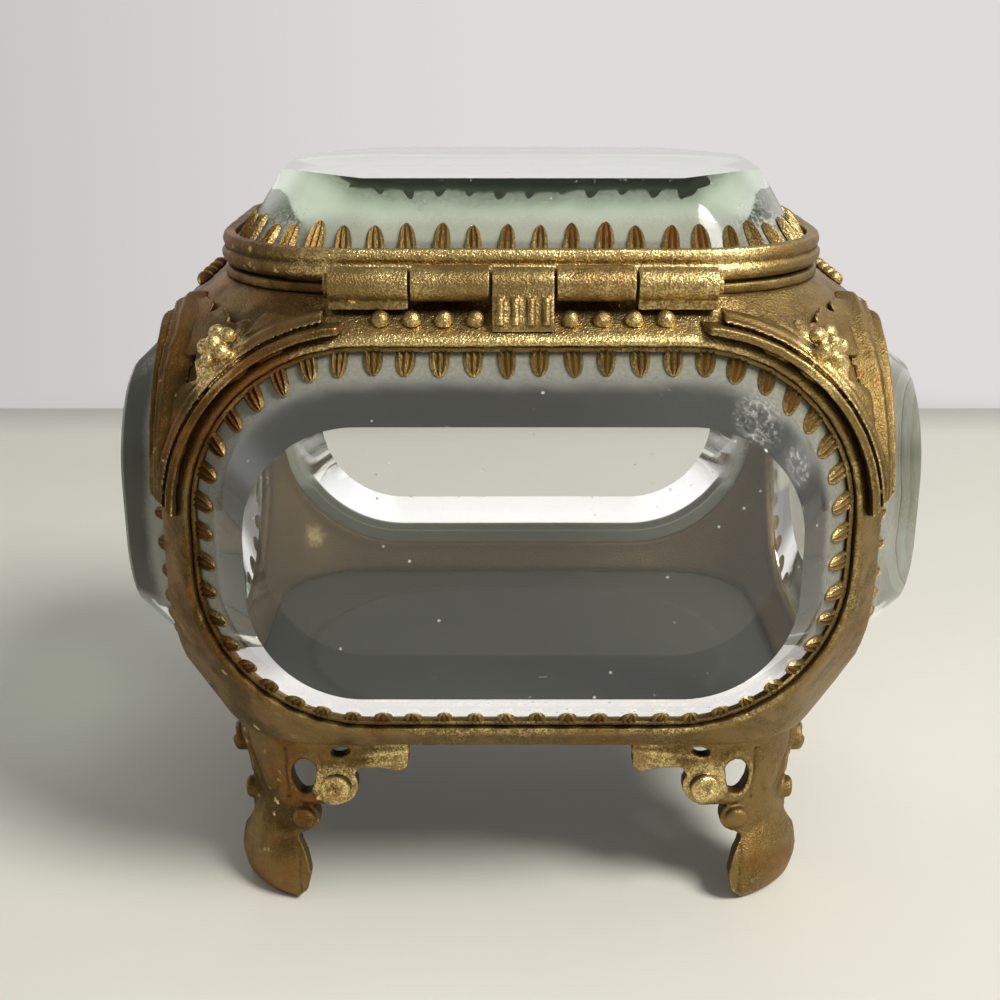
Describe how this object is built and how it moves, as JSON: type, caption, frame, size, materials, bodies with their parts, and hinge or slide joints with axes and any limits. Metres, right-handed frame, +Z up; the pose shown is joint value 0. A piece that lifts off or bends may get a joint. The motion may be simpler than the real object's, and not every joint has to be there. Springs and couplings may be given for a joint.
{
  "type": "glass casket box",
  "caption": "Keepsake casket with thick bevelled glass panes held by folded claws in a gilt cast body on pierced scroll feet; hinged glass lid.",
  "frame": {"origin": "on the floor, under the middle of the box", "axes": "+Z up, +X along the hinge, -Y towards the hinge side, +Y towards the side that opens"},
  "size_m": [0.0968, 0.0788, 0.0903],
  "materials": {
    "aged_gilt": "cast brass with worn gilding and brown patina",
    "bright_gilt": "cast brass with gilding left on the high spots",
    "clear_glass": "polished flat with ground and polished bevels",
    "dull_sheet": "dull dark tinned sheet",
    "pin_metal": "tarnished drawn wire"
  },
  "bodies": {
    "body": {"body_frame": "aged_gilt", "top_collar": "aged_gilt", "rail_beads": "bright_gilt", "floor_sheet": "dull_sheet", "back_glass": "clear_glass", "front_glass": "clear_glass", "left_glass": "clear_glass", "right_glass": "clear_glass", "back_claws": "bright_gilt", "front_claws": "bright_gilt", "left_claws": "bright_gilt", "right_claws": "bright_gilt", "leaf_back_left": "bright_gilt", "leaf_back_right": "bright_gilt", "leaf_front_left": "bright_gilt", "leaf_front_right": "bright_gilt", "foot_back_left": "aged_gilt", "foot_back_right": "aged_gilt", "foot_front_left": "aged_gilt", "foot_front_right": "aged_gilt", "body_knuckles": "bright_gilt", "hinge_strap": "bright_gilt", "hinge_pin": "pin_metal"},
    "lid": {"lid_frame": "aged_gilt", "lid_claws": "bright_gilt", "lid_glass": "clear_glass", "lid_knuckles": "bright_gilt", "lid_thumbpiece": "bright_gilt"}
  },
  "joints": [
    {"name": "lid_hinge", "type": "hinge", "parent": "body", "child": "lid", "pos_m": [0, -0.0292, 0.0799], "axis": [1, 0, 0], "range_deg": [0, 105]}
  ]
}
